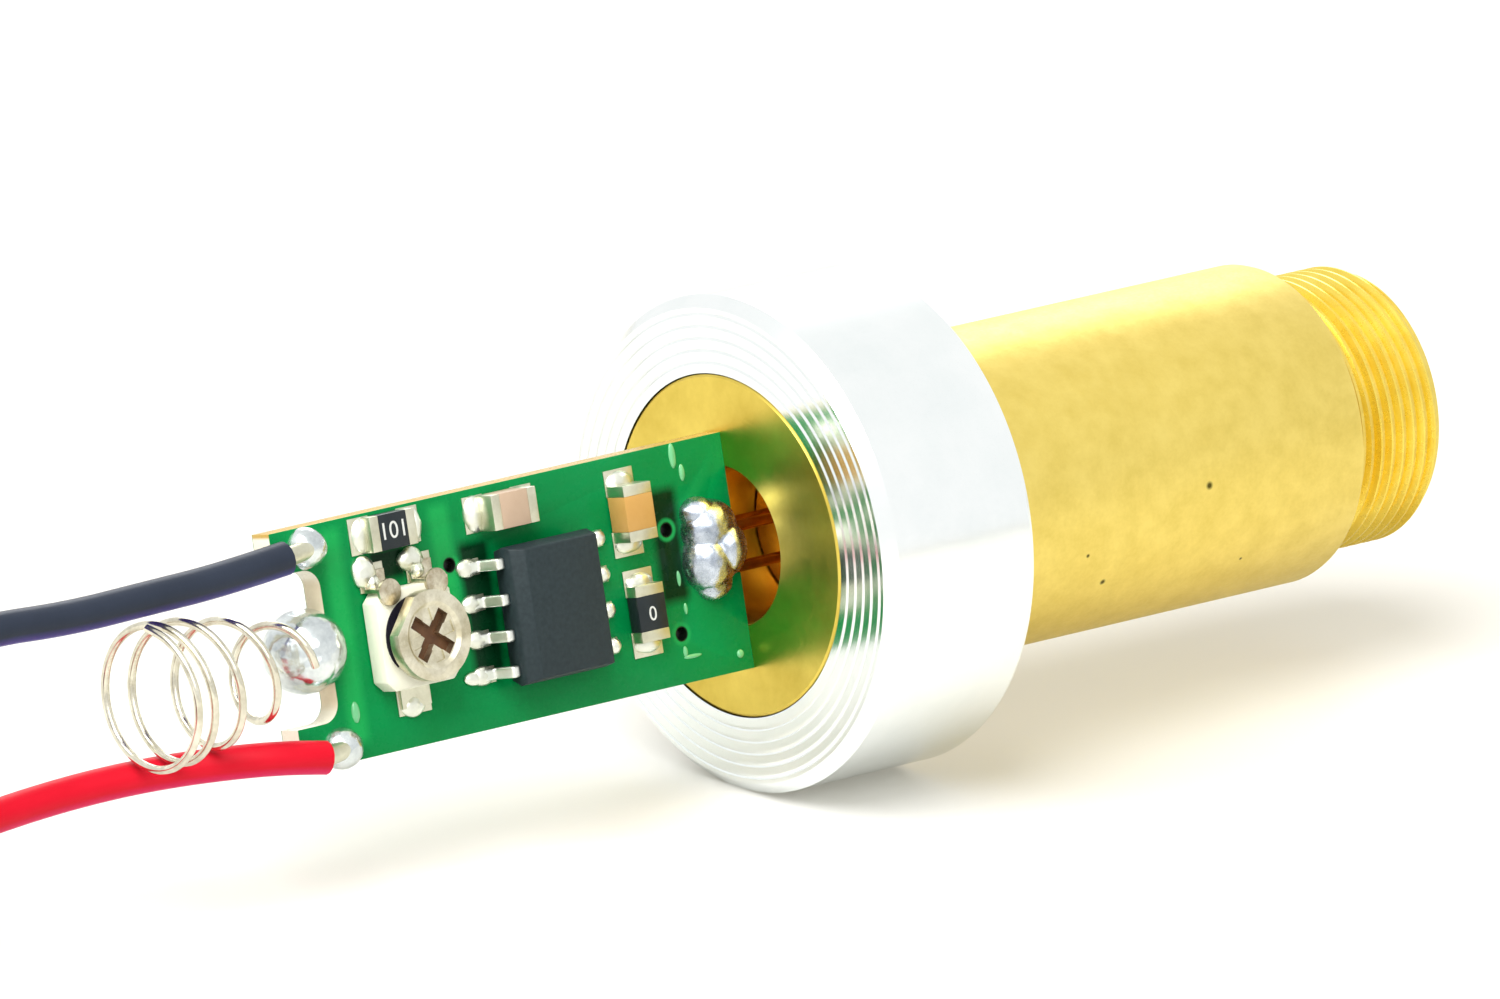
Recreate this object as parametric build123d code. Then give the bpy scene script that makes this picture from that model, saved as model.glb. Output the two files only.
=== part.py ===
from build123d import *
import math
import os

# Laser diode module: a brass barrel with a threaded nose, an aluminium heat-sink ring, a diode
# pressed into a brass mount, and a driver board with a contact spring and two supply leads.
# Millimetres. +X is the optical axis towards the nose, +Z is up, and the origin is the middle of
# the ring on that axis.

# Heat-sink ring
ring_d = 17.8
ring_length = 6.6
ring_rear_chamfer = 0.45
ring_front_chamfer = 0.15
ring_step = 0.4
ring_mouth = 0.5

# Brass barrel and its threaded nose
barrel_d = 11.55
body_length = 24.65
shoulder_chamfer = 0.25
nose_d = 10.0
nose_length = 4.35
nose_chamfer = 0.35
relief_d = 9.2
relief_length = 0.7
relief_taper = 0.35
light_bore_d = 6.0
cell_bore_d = 8.0
cell_bore_depth = 7.4

# Diode mount, the brass plug whose head shows inside the ring
head_d = 12.2
head_length = 2.0
head_gap = 0.08
spigot_d = 9.4
spigot_length = 6.3
can_bore_d = 5.7
can_seat_depth = 4.8
cap_bore_d = 4.2
glue_gap = 0.02

# Diode can: 5.6 mm header, cap, window and three pins
header_d = 5.6
header_length = 1.2
cap_d = 3.55
cap_length = 2.3
cap_wall = 0.2
cap_window_d = 1.6
window_d = 2.4
window_t = 0.25
pin_d = 0.4
pin_circle_d = 2.0
pin_inside = 0.5
pin_reach = 2.1
pin_gap = 0.01

# Crystal holder, crystals and the small expander lens
holder_length = 8.0
holder_bore_d = 2.6
crystal_side = 2.0
crystal_length = 2.6
crystal_gap = 0.02
expander_d = 4.0
expander_t = 1.0
expander_dish = 0.25
expander_dish_d = 3.2

# Lens cell, filter, collimating lens and retaining ring
cell_length = 6.6
cell_bore_small_d = 5.4
seat_depth = 4.6
lens_d = 6.6
lens_edge_t = 1.2
lens_crown = 0.7
crown_gap = 0.05
filter_t = 0.5
lock_ring_length = 0.9
lock_ring_bore_d = 5.4
spanner_slot_width = 0.8
spanner_slot_depth = 0.4

# Driver board
board_length = 20.3
board_width = 8.4
board_t = 1.0
board_lean = 13.2
board_drop = 0.15
notch_width = 5.4
notch_depth = 1.9
notch_corner_r = 0.7
via_d = 0.45
pad_t = 0.06
pad_margin = 0.08

# Driver chip in an eight-lead small-outline case
chip_length = 4.9
chip_width = 3.9
chip_height = 1.5
chip_lift = 0.15
chip_draft = 0.16
chip_bevel = 0.35
chip_lead_count = 4
chip_lead_pitch = 1.27
chip_lead_width = 0.42
chip_lead_t = 0.2
chip_lead_span = 6.0
chip_foot = 0.65

# Small two-ended chips, resistors and capacitors
small_length = 2.0
small_width = 1.25
resistor_height = 0.55
capacitor_height = 0.95
small_end = 0.38
small_wall = 0.04
small_pad_reach = 0.55
small_pad_width = 1.3

# Trimmer
trimmer_length = 3.3
trimmer_width = 3.5
trimmer_base_t = 0.8
trimmer_corner = 0.35
track_inner_d = 1.9
track_outer_d = 2.9
track_t = 0.04
track_gap_angle = 100
rotor_d = 3.2
rotor_t = 0.5
rotor_flat = 1.4
rotor_flat_angle = -38
rotor_rim = 0.28
rotor_dish = 0.12
rotor_collar_d = 1.3
rotor_lift = 0.42
slot_length = 1.9
slot_width = 0.42
slot_depth = 0.28
slot_angle = 12
pivot_d = 0.8
pivot_height = 1.05
pivot_clearance = 0.04
terminal_t = 0.15
terminal_pitch = 2.1
terminal_width = 0.95
terminal_foot = 0.75
terminal_ear = 0.5
wiper_width = 1.3
trimmer_pad_reach = 0.25

# Solder
diode_solder_length = 2.4
diode_solder_width = 3.2
diode_solder_height = 1.3
spring_solder_length = 3.0
spring_solder_width = 3.0
spring_solder_lap = 0.75
spring_solder_down = 0.13
lead_solder_d = 1.5

# Contact spring
spring_wire_d = 0.3
spring_big_d = 5.4
spring_small_d = 2.6
spring_length = 6.9
spring_turns = 4.25
spring_growth = 1.7
spring_taper = 2.8
spring_lean = 4.5
spring_points = 12
spring_y = -0.35
spring_z = -0.37

# Supply leads, their put-away coils and the ties
lead_d = 1.2
core_d = 0.7
tip_length = 4.0
coil_mid_d = 13.0
coil_turns = 2
coil_slack = 0.06
stub_length = 4.4
tie_width = 1.6
tie_t = 0.25

# Places on the board: distance back from its front end, distance down from its middle line
trimmer_inset = 5.15
rear_resistor_inset = 4.95
chip_at = (0.448 * board_length, 0.4)
trimmer_at = (board_length - trimmer_inset, 0.3)
rear_resistor_at = (board_length - rear_resistor_inset, -3.45)
front_resistor_at = (4.6, 1.4)
rear_capacitor_at = (chip_at[0] + 1.15, -3.3)
front_capacitor_at = (4.8, -2.2)
via_places = [(trimmer_at[0] - 2.45, -1.75), (3.0, 2.45), (3.0, -1.25)]
diode_solder_at = (1.35, -0.2)
black_solder_at = (board_length - 1.3, -3.45)
red_solder_at = (board_length - 1.6, 3.65)

# Worked out from the sizes above
rear_x = -ring_length / 2
ring_front_x = ring_length / 2
head_front_x = rear_x + head_length
spigot_front_x = head_front_x + spigot_length
shoulder_x = rear_x + body_length
nose_x = shoulder_x + nose_length
can_seat_x = rear_x + can_seat_depth
header_rear_x = can_seat_x - header_length
holder_front_x = spigot_front_x + holder_length
cell_step_x = nose_x - cell_bore_depth
cell_front_x = cell_step_x + cell_length
cell_seat_x = cell_front_x - seat_depth
filter_front_x = cell_seat_x + filter_t
lens_front_x = filter_front_x + lens_edge_t
face_h = board_t / 2
chip_base_h = face_h + pad_t
floor_z = -ring_d / 2
red_coil_z = floor_z + tie_t + lead_d / 2
black_coil_z = red_coil_z + lead_d + 2 * coil_slack + glue_gap
board_end_x = rear_x - board_length


def turned(points):
    """A solid turned about the optical axis from (x, radius) points."""
    return revolve(make_face(Polyline(*points, close=True)), Axis.X)


def disc(x_low, x_high, radius):
    """A plain disc on the optical axis."""
    return turned([(x_low, 0), (x_low, radius), (x_high, radius), (x_high, 0)])


def board_plane():
    """The board's own frame: x runs back, y runs down the board, z is its component side."""
    lean = math.radians(board_lean)
    down = Vector(0, -math.sin(lean), -math.cos(lean))
    outward = Vector(0, -math.cos(lean), math.sin(lean))
    return Plane(origin=Vector(rear_x, 0, 0) + down * board_drop, x_dir=(-1, 0, 0), z_dir=outward)


def on_board(shape):
    """Puts a shape modelled flat on the board's own frame in its real place."""
    return board_plane().location * shape


def block(low, high):
    """A box between two corners."""
    size = [b - a for a, b in zip(low, high)]
    centre = [(a + b) / 2 for a, b in zip(low, high)]
    return Pos(*centre) * Box(*size)


def heatsink_ring():
    """Turned aluminium ring, counterbored behind for the mount's head, its bore opened in front."""
    outer_r = ring_d / 2
    bore_r = barrel_d / 2 - ring_step + glue_gap
    counterbore_r = head_d / 2 + head_gap
    return turned([
        (rear_x, counterbore_r),
        (rear_x, outer_r - ring_rear_chamfer),
        (rear_x + ring_rear_chamfer, outer_r),
        (ring_front_x - ring_front_chamfer, outer_r),
        (ring_front_x, outer_r - ring_front_chamfer),
        (ring_front_x, bore_r + ring_mouth),
        (ring_front_x - ring_mouth, bore_r),
        (head_front_x, bore_r),
        (head_front_x, counterbore_r),
    ])


def barrel():
    """Turned brass barrel: seat for the ring, shoulder, thread relief and nose outside, a stepped bore."""
    outer_r = barrel_d / 2
    seat_r = outer_r - ring_step
    seat_end_x = ring_front_x + glue_gap
    nose_r = nose_d / 2
    relief_r = relief_d / 2
    rear_bore_r = spigot_d / 2 + glue_gap
    light_r = light_bore_d / 2
    cell_r = cell_bore_d / 2 + glue_gap
    return turned([
        (head_front_x, rear_bore_r),
        (head_front_x, seat_r),
        (seat_end_x, seat_r),
        (seat_end_x, outer_r),
        (shoulder_x - shoulder_chamfer, outer_r),
        (shoulder_x, outer_r - shoulder_chamfer),
        (shoulder_x, relief_r),
        (shoulder_x + relief_length, relief_r),
        (shoulder_x + relief_length + relief_taper, nose_r),
        (nose_x - nose_chamfer, nose_r),
        (nose_x, nose_r - nose_chamfer),
        (nose_x, cell_r),
        (cell_step_x, cell_r),
        (cell_step_x, light_r),
        (holder_front_x, light_r),
        (holder_front_x, rear_bore_r),
    ])


def diode_mount():
    """Turned brass plug: a head in the ring, a spigot in the barrel, a bore for the diode can."""
    return turned([
        (rear_x, can_bore_d / 2),
        (rear_x, head_d / 2),
        (head_front_x, head_d / 2),
        (head_front_x, spigot_d / 2),
        (spigot_front_x, spigot_d / 2),
        (spigot_front_x, cap_bore_d / 2),
        (can_seat_x, cap_bore_d / 2),
        (can_seat_x, can_bore_d / 2),
    ])


def pin_places():
    """Where the three pins cross the axis plane: two over the board, one under it."""
    lift = face_h + pin_d / 2 + pin_gap
    side = math.sqrt((pin_circle_d / 2) ** 2 - lift ** 2)
    return [(-side, lift), (side, lift), (-side, -lift)]


def diode_pins():
    """Three round pins from inside the header back over the board's front end."""
    pins = []
    length = can_seat_x + pin_inside - (rear_x - pin_reach)
    for down, out in pin_places():
        middle = Pos(pin_reach - length / 2, down - board_drop, out)
        pins.append(on_board(middle * Rot(0, 90, 0) * Cylinder(pin_d / 2, length)))
    return pins


def diode_header(pins):
    """Gold-plated header disc with the pins sealed through it."""
    return disc(header_rear_x, can_seat_x, header_d / 2) - pins


def diode_cap():
    """Thin drawn cap with a round window hole in its end."""
    outer_r = cap_d / 2
    end_x = can_seat_x + cap_length
    return turned([
        (can_seat_x, outer_r - cap_wall),
        (can_seat_x, outer_r),
        (end_x, outer_r),
        (end_x, cap_window_d / 2),
        (end_x - cap_wall, cap_window_d / 2),
        (end_x - cap_wall, outer_r - cap_wall),
    ])


def diode_window():
    """Glass disc sealed behind the cap's window hole."""
    inner_x = can_seat_x + cap_length - cap_wall
    return disc(inner_x - window_t, inner_x, window_d / 2)


def crystal_holder():
    """Brass sleeve with a square pocket behind for the crystals and a lens seat in front."""
    body = turned([
        (spigot_front_x, 0),
        (spigot_front_x, spigot_d / 2),
        (holder_front_x, spigot_d / 2),
        (holder_front_x, expander_d / 2 + glue_gap),
        (holder_front_x - expander_t, expander_d / 2 + glue_gap),
        (holder_front_x - expander_t, holder_bore_d / 2),
        (spigot_front_x + crystal_length, holder_bore_d / 2),
        (spigot_front_x + crystal_length, 0),
    ])
    half = crystal_side / 2 + crystal_gap
    pocket = block((spigot_front_x, -half, -half), (spigot_front_x + crystal_length, half, half))
    bore = disc(spigot_front_x + crystal_length, holder_front_x, holder_bore_d / 2)
    return body - pocket - bore


def crystal_set():
    """Two bonded crystals, cut as one square block."""
    half = crystal_side / 2
    return block((spigot_front_x, -half, -half), (spigot_front_x + crystal_length, half, half))


def sphere_radius(rim_r, height):
    """Radius of the sphere whose cap has this rim radius and height."""
    return (rim_r ** 2 + height ** 2) / (2 * height)


def expander_lens():
    """Small lens with a dished front that spreads the beam."""
    body = disc(holder_front_x - expander_t, holder_front_x, expander_d / 2)
    ball_r = sphere_radius(expander_dish_d / 2, expander_dish)
    return body - Pos(holder_front_x - expander_dish + ball_r, 0, 0) * Sphere(ball_r)


def lens_cell():
    """Brass cell screwed into the nose, bored through with a seat for the filter and lens."""
    return turned([
        (cell_step_x, cell_bore_small_d / 2),
        (cell_step_x, cell_bore_d / 2),
        (cell_front_x, cell_bore_d / 2),
        (cell_front_x, lens_d / 2 + glue_gap),
        (cell_seat_x, lens_d / 2 + glue_gap),
        (cell_seat_x, cell_bore_small_d / 2),
    ])


def ir_filter():
    """Flat glass filter on the cell's seat."""
    return disc(cell_seat_x, filter_front_x, lens_d / 2)


def collimating_lens():
    """Lens with a flat back and a crowned front."""
    crown_r = lock_ring_bore_d / 2 - crown_gap
    ball_r = sphere_radius(crown_r, lens_crown)
    sweep_angle = math.degrees(math.asin(crown_r / ball_r))
    apex_x = lens_front_x + lens_crown
    crown = CenterArc((apex_x - ball_r, 0), ball_r, 0, sweep_angle)
    rim = Polyline((lens_front_x, crown_r), (lens_front_x, lens_d / 2), (filter_front_x, lens_d / 2),
                   (filter_front_x, 0), (apex_x, 0))
    return revolve(make_face(crown + rim), Axis.X)


def lock_ring():
    """Threaded ring that holds the lens, with two spanner slots."""
    front = lens_front_x + lock_ring_length
    ring = turned([
        (lens_front_x, lock_ring_bore_d / 2),
        (lens_front_x, lens_d / 2),
        (front, lens_d / 2),
        (front, lock_ring_bore_d / 2),
    ])
    half = spanner_slot_width / 2
    slot = block((front - spanner_slot_depth, -half, -lens_d), (front, half, lens_d))
    return ring - slot


def driver_board():
    """Board blank with a notch in its rear end and three plated holes."""
    outline = Pos(board_length / 2, 0) * Rectangle(board_length, board_width)
    notch = Pos(board_length, 0) * Rectangle(2 * notch_depth, notch_width)
    notch = fillet(notch.vertices().group_by(Axis.X)[0], notch_corner_r)
    holes = [Pos(*place) * Circle(via_d / 2) for place in via_places]
    return Pos(0, 0, -face_h) * extrude(outline - notch - holes, board_t)


def tapered_case(length, width, low, high, inset):
    """A moulded case half: a slab whose far face is smaller all round."""
    near = Pos(0, 0, low) * Rectangle(width, length)
    far = Pos(0, 0, high) * Rectangle(width - 2 * inset, length - 2 * inset)
    return loft([near, far])


def driver_chip_body():
    """Moulded case with drafted sides and the long bevel that marks its first lead."""
    middle = (chip_lift + chip_height) / 2
    case = tapered_case(chip_length, chip_width, middle, chip_height, chip_draft)
    case += tapered_case(chip_length, chip_width, middle, chip_lift, chip_draft)
    top_edge = case.edges().group_by(Axis.Z)[-1].sort_by(Axis.X)[-1]
    case = chamfer(top_edge, chip_bevel, chip_bevel)
    return Pos(*chip_at, chip_base_h) * case


def chip_lead():
    """One gull-wing lead, seen from its end and drawn to its width."""
    outer = chip_lead_span / 2
    inner = chip_width / 2 - chip_draft
    top = (chip_lift + chip_height) / 2 + chip_lead_t / 2
    knee = inner + chip_draft + chip_lead_t * 1.5
    profile = Polyline(
        (inner, top),
        (knee, top),
        (outer - chip_foot + chip_lead_t, chip_lead_t),
        (outer, chip_lead_t),
        (outer, 0),
        (outer - chip_foot, 0),
        (knee - chip_lead_t, top - chip_lead_t),
        (inner, top - chip_lead_t),
        close=True,
    )
    return extrude(make_face(Plane.XZ * profile), chip_lead_width / 2, both=True)


def driver_chip_leads():
    """Both rows of leads, less what the moulded case holds."""
    case = driver_chip_body()
    leads = []
    for row in range(chip_lead_count):
        along = (row - (chip_lead_count - 1) / 2) * chip_lead_pitch
        for turn in (0, 180):
            lead = Pos(chip_at[0], chip_at[1] + along, chip_base_h) * Rot(0, 0, turn) * chip_lead()
            leads.append(lead - case)
    return leads


def small_chip(place, height, turn):
    """A two-ended chip: its body, and its two wrapped metal ends."""
    body_half = small_length / 2 - small_end
    inner = Box(small_length - 2 * small_wall, small_width - 2 * small_wall, height - 2 * small_wall)
    middle = Box(2 * body_half, small_width, height)
    body = inner + middle
    whole = Box(small_length, small_width, height)
    ends = (whole - body).solids()
    spot = Pos(*place, chip_base_h + height / 2) * Rot(0, 0, turn)
    return spot * body, [spot * end for end in ends]


def small_pads(place, turn):
    """The two tinned pads under a small chip."""
    pads = []
    inner = small_length / 2 - small_end
    outer = small_length / 2 + small_pad_reach
    half = small_pad_width / 2
    for side in (0, 180):
        spot = Pos(*place, 0) * Rot(0, 0, turn + side)
        pads.append(spot * block((inner, -half, face_h), (outer, half, chip_base_h)))
    return pads


def chip_pads():
    """Tinned pads under the driver chip's feet."""
    pads = []
    inner = chip_lead_span / 2 - chip_foot
    outer = chip_lead_span / 2 + chip_lead_t
    half = chip_lead_width / 2 + pad_margin
    for row in range(chip_lead_count):
        along = (row - (chip_lead_count - 1) / 2) * chip_lead_pitch
        for side in (0, 180):
            spot = Pos(chip_at[0], chip_at[1] + along, 0) * Rot(0, 0, side)
            pads.append(spot * block((inner, -half, face_h), (outer, half, chip_base_h)))
    return pads


def trimmer_pads():
    """Tinned pads under the trimmer's two end feet and its wiper foot."""
    pads = []
    near = trimmer_width / 2
    far = near + terminal_foot + trimmer_pad_reach
    for side in (-1, 1):
        middle = trimmer_at[0] + side * terminal_pitch / 2
        half = terminal_width / 2 + pad_margin
        pads.append(block((middle - half, trimmer_at[1] - far, face_h),
                          (middle + half, trimmer_at[1] - near, chip_base_h)))
    half = wiper_width / 2 + pad_margin
    pads.append(block((trimmer_at[0] - half, trimmer_at[1] + near, face_h),
                      (trimmer_at[0] + half, trimmer_at[1] + far, chip_base_h)))
    return pads


def trimmer_base():
    """Ceramic block with cut corners, a hole for the pivot and a channel for the wiper strip."""
    base = extrude(Rectangle(trimmer_length, trimmer_width), trimmer_base_t)
    base = chamfer(base.edges().filter_by(Axis.Z), trimmer_corner)
    hole = Cylinder(pivot_d / 2 + glue_gap, 4 * trimmer_base_t)
    half = wiper_width / 2 + glue_gap
    channel = block((-half, -half, 0), (half, trimmer_width, terminal_t + glue_gap))
    return Pos(*trimmer_at, chip_base_h) * (base - hole - channel)


def trimmer_track():
    """Printed resistive arc on top of the base."""
    ring = Circle(track_outer_d / 2) - Circle(track_inner_d / 2)
    reach = track_outer_d
    half_angle = math.radians(track_gap_angle / 2)
    gap = make_face(Polyline(
        (0, 0),
        (-reach * math.sin(half_angle), reach * math.cos(half_angle)),
        (reach * math.sin(half_angle), reach * math.cos(half_angle)),
        close=True,
    ))
    return Pos(*trimmer_at, chip_base_h + trimmer_base_t) * extrude(ring - gap, track_t)


def trimmer_terminals():
    """Two clips that grip the base's upper edge: a foot, a riser and a rounded ear."""
    clips = []
    edge = -trimmer_width / 2
    top = trimmer_base_t
    half = terminal_width / 2
    for side in (-1, 1):
        foot = block((-half, edge - terminal_foot, 0), (half, edge, terminal_t))
        riser = block((-half, edge - terminal_t, 0), (half, edge, top + terminal_t))
        ear = block((-half, edge - terminal_t, top), (half, edge + terminal_ear - half, top + terminal_t))
        ear += Pos(0, edge + terminal_ear - half, top + terminal_t / 2) * Cylinder(half, terminal_t)
        spot = Pos(trimmer_at[0] + side * terminal_pitch / 2, trimmer_at[1], chip_base_h)
        clips.append(spot * (foot + riser + ear))
    return clips


def trimmer_wiper_terminal():
    """Foot, strip under the base and the round pivot that the rotor turns on, in one piece."""
    half = wiper_width / 2
    strip = block((-half, -half, 0), (half, trimmer_width / 2 + terminal_foot, terminal_t))
    pivot = Pos(0, 0, pivot_height / 2) * Cylinder(pivot_d / 2, pivot_height)
    return Pos(*trimmer_at, chip_base_h) * (strip + pivot)


def trimmer_rotor():
    """Dished metal rotor with a flat, a cross slot and a blind bore over the pivot."""
    low = trimmer_base_t + rotor_lift
    top = low + rotor_t
    plate = Pos(0, 0, low + rotor_t / 2) * Cylinder(rotor_d / 2, rotor_t)
    flat = Rot(0, 0, rotor_flat_angle) * block((rotor_flat, -rotor_d, low), (rotor_d, rotor_d, top))
    dish = Pos(0, 0, top) * Cone(rotor_d / 2 - 2 * rotor_rim, rotor_d / 2 - rotor_rim, 2 * rotor_dish)
    collar_low = trimmer_base_t + track_t + pivot_clearance
    collar = Pos(0, 0, (collar_low + low) / 2) * Cylinder(rotor_collar_d / 2, low - collar_low)
    bore_top = pivot_height + pivot_clearance
    bore = Pos(0, 0, bore_top / 2) * Cylinder(pivot_d / 2 + pivot_clearance, bore_top)
    floor_h = top - rotor_dish - slot_depth
    arm = block((-slot_length / 2, -slot_width / 2, floor_h), (slot_length / 2, slot_width / 2, top))
    cross = Rot(0, 0, slot_angle) * (arm + Rot(0, 0, 90) * arm)
    return Pos(*trimmer_at, chip_base_h) * (plate + collar - flat - dish - bore - cross)


def blob(length, width, height, place):
    """A drop of solder: an ellipse turned about the board's width, then set down on the board."""
    arc = EllipticalCenterArc((0, 0), length / 2, width / 2, start_angle=-90, arc_size=180)
    face = make_face(arc + Line((0, width / 2), (0, -width / 2)))
    drop = scale(revolve(face, Axis.Y), by=(1, 1, 2 * height / length))
    return Pos(*place) * drop


def diode_solder(pins):
    """Solder over the two upper pins, and a smaller drop on the pin under the board."""
    upper_place = (*diode_solder_at, face_h)
    upper = blob(diode_solder_length, diode_solder_width, diode_solder_height, upper_place)
    lower_side = pin_places()[2][0]
    lower = blob(diode_solder_length, diode_solder_length / 2, diode_solder_length / 2,
                 (diode_solder_at[0], lower_side, -face_h))
    above = block((-1, -board_width, face_h), (board_length, board_width, board_length))
    below = block((-1, -board_width, -board_length), (board_length, board_width, -face_h))
    drops = []
    for drop in (upper & above, lower & below):
        drops.append(on_board(drop) - pins)
    return drops


def spring_path():
    """Wire line from the big end's nearly closed turn, opening and narrowing towards the board."""
    small_end_x = board_end_x + notch_depth - spring_solder_length / 2
    lean = math.radians(spring_lean)
    big_r = (spring_big_d - spring_wire_d) / 2
    small_r = (spring_small_d - spring_wire_d) / 2
    count = round(spring_turns * spring_points)
    points = []
    for step in range(count + 1):
        share = step / count
        turn = 2 * math.pi * spring_turns * share
        reach = big_r - (big_r - small_r) * share ** spring_taper
        back = spring_length * (1 - share ** spring_growth)
        side = reach * math.sin(turn)
        points.append((
            small_end_x - back * math.cos(lean) + side * math.sin(lean),
            spring_y - back * math.sin(lean) - side * math.cos(lean),
            spring_z + reach * math.cos(turn),
        ))
    return Spline(*points)


def contact_spring():
    """Round wire swept along its line."""
    path = spring_path()
    section = Plane(origin=path @ 0, z_dir=path % 0) * Circle(spring_wire_d / 2)
    return sweep(section, path=path, is_frenet=True)


def spring_solder(board, spring):
    """Drop of solder in the board's notch round the spring's last turn."""
    along = board_length - notch_depth + spring_solder_length / 2 - spring_solder_lap
    place = (along, spring_solder_down, 0)
    drop = blob(spring_solder_length, spring_solder_width, spring_solder_width / 2, place)
    return on_board(drop) - board - spring


def lead_dome(place, core, lead):
    """Dome of solder on a corner tab, over the lead's bare strands."""
    ball = Pos(*place, face_h) * Sphere(lead_solder_d / 2)
    above = block((0, -board_width, face_h), (board_length, board_width, face_h + lead_solder_d))
    return on_board(ball & above) - core - lead


def lead_core(place, start, lead):
    """Tinned strands from the cut insulation into the solder."""
    inside = on_board(Pos(place[0], place[1], face_h + core_d / 2 + glue_gap)).position
    run = Vector(*start) - inside
    plane = Plane(origin=inside, z_dir=run)
    return plane.location * Pos(0, 0, run.length / 2) * Cylinder(core_d / 2, run.length) - lead


# Routes of the leads back and down to their coils, each x counted from the board's rear end
black_run = [
    (0.10, -0.34, 3.36),
    (-2.70, -0.33, 3.10),
    (-5.90, -0.28, 3.03),
    (-9.40, -0.20, 2.92),
    (-13.00, -0.05, 3.12),
    (-15.80, 0.20, 2.65),
    (-18.20, 0.80, 1.00),
    (-20.70, 2.00, -1.40),
    (-23.30, 3.90, -3.90),
    (-26.20, 5.90, -5.80),
    (-29.40, 7.10, black_coil_z),
    (-32.50, 7.10, black_coil_z),
]
red_run = [
    (0.48, -2.03, -3.53),
    (-1.00, -1.85, -3.28),
    (-3.00, -0.80, -3.35),
    (-5.15, 0.25, -3.53),
    (-7.50, 0.82, -3.70),
    (-10.20, 1.10, -3.93),
    (-13.00, 0.98, -4.15),
    (-15.80, 0.45, -4.75),
    (-18.90, -0.90, -5.75),
    (-22.00, -3.20, -6.85),
    (-25.40, -5.60, -7.70),
    (-29.10, -7.10, red_coil_z),
    (-32.50, -7.10, red_coil_z),
]
black_route = [(board_end_x + along, side, height) for along, side, height in black_run]
red_route = [(board_end_x + along, side, height) for along, side, height in red_run]


def corner_radii(route):
    """The largest arc that each corner's two runs allow."""
    radii = []
    for before, corner, after in zip(route, route[1:], route[2:]):
        run_in = Vector(*corner) - Vector(*before)
        run_out = Vector(*after) - Vector(*corner)
        half_turn = math.radians(run_in.get_angle(run_out)) / 2
        radii.append(0.45 * min(run_in.length, run_out.length) / math.tan(half_turn))
    return radii


def lead_tube(name, route):
    """Insulated lead along its route, up to the start of its coil."""
    radii = corner_radii(route)
    path = FilletPolyline(*route, radius=radii)
    print(name, "radii", [round(r, 1) for r in radii], "length", round(path.length, 1))
    section = Plane(origin=path @ 0, z_dir=path % 0) * Circle(lead_d / 2)
    return sweep(section, path=path)


def coil_centre(route, side):
    """Middle of a coil, so that its outer turn carries on from the end of the route."""
    end_x, end_y, end_z = route[-1]
    outer_turn_r = (coil_mid_d + (coil_turns - 1) * lead_d) / 2
    return Vector(end_x - stub_length, end_y + side * outer_turn_r, end_z)


def lead_coil(route, side):
    """Outer shape of the put-away turns, lying side by side, with the run that leads in."""
    centre = coil_centre(route, side)
    height = lead_d + 2 * coil_slack
    section = RectangleRounded(coil_turns * lead_d + 2 * coil_slack, height, height / 2 - coil_slack)
    ring = revolve(Plane.XZ * Pos(coil_mid_d / 2, 0) * section, Axis.Z)
    end_x, end_y, end_z = route[-1]
    stub = Pos(end_x - stub_length / 2, end_y, end_z) * Rot(0, 90, 0) * Cylinder(lead_d / 2, stub_length)
    return Pos(*centre) * ring + stub


def lead_tip(route, side, coil):
    """Stripped and tinned end of the lead, just inside the coil's inner turn."""
    centre = coil_centre(route, side)
    inner_r = (coil_mid_d - coil_turns * lead_d) / 2
    middle = centre + Vector(inner_r - core_d / 3, -side * tip_length / 2, 0)
    return Pos(*middle) * Rot(90, 0, 0) * Cylinder(core_d / 2, tip_length) - coil


def coil_tie(coils):
    """Flat band pulled round both coils, one on the other, on the side away from the module."""
    low, high = coil_centre(red_route, 1), coil_centre(black_route, -1)
    reach = coil_turns * lead_d / 2 + tie_t
    height = high.Z - low.Z + lead_d + 2 * tie_t
    band = Box(2 * reach, tie_width, height)
    band = fillet(band.edges().filter_by(Axis.Y), lead_d / 2)
    band = Pos(low.X - coil_mid_d / 2, low.Y, (low.Z + high.Z) / 2) * band
    for coil in coils:
        band -= coil
    return band


def gather(name, shape):
    """Names a node; a list becomes one group of separate solids."""
    if isinstance(shape, (list, ShapeList)):
        shape = Compound(children=list(shape))
    nodes[name] = shape


nodes = {}

gather("heatsink_ring", heatsink_ring())
gather("barrel", barrel())
gather("diode_mount", diode_mount())
pins = diode_pins()
gather("diode_pins", pins)
gather("diode_header", diode_header(pins))
gather("diode_cap", diode_cap())
gather("diode_window", diode_window())
gather("crystal_holder", crystal_holder())
gather("crystal_set", crystal_set())
gather("expander_lens", expander_lens())
gather("lens_cell", lens_cell())
gather("ir_filter", ir_filter())
gather("collimating_lens", collimating_lens())
gather("lens_lock_ring", lock_ring())

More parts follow.
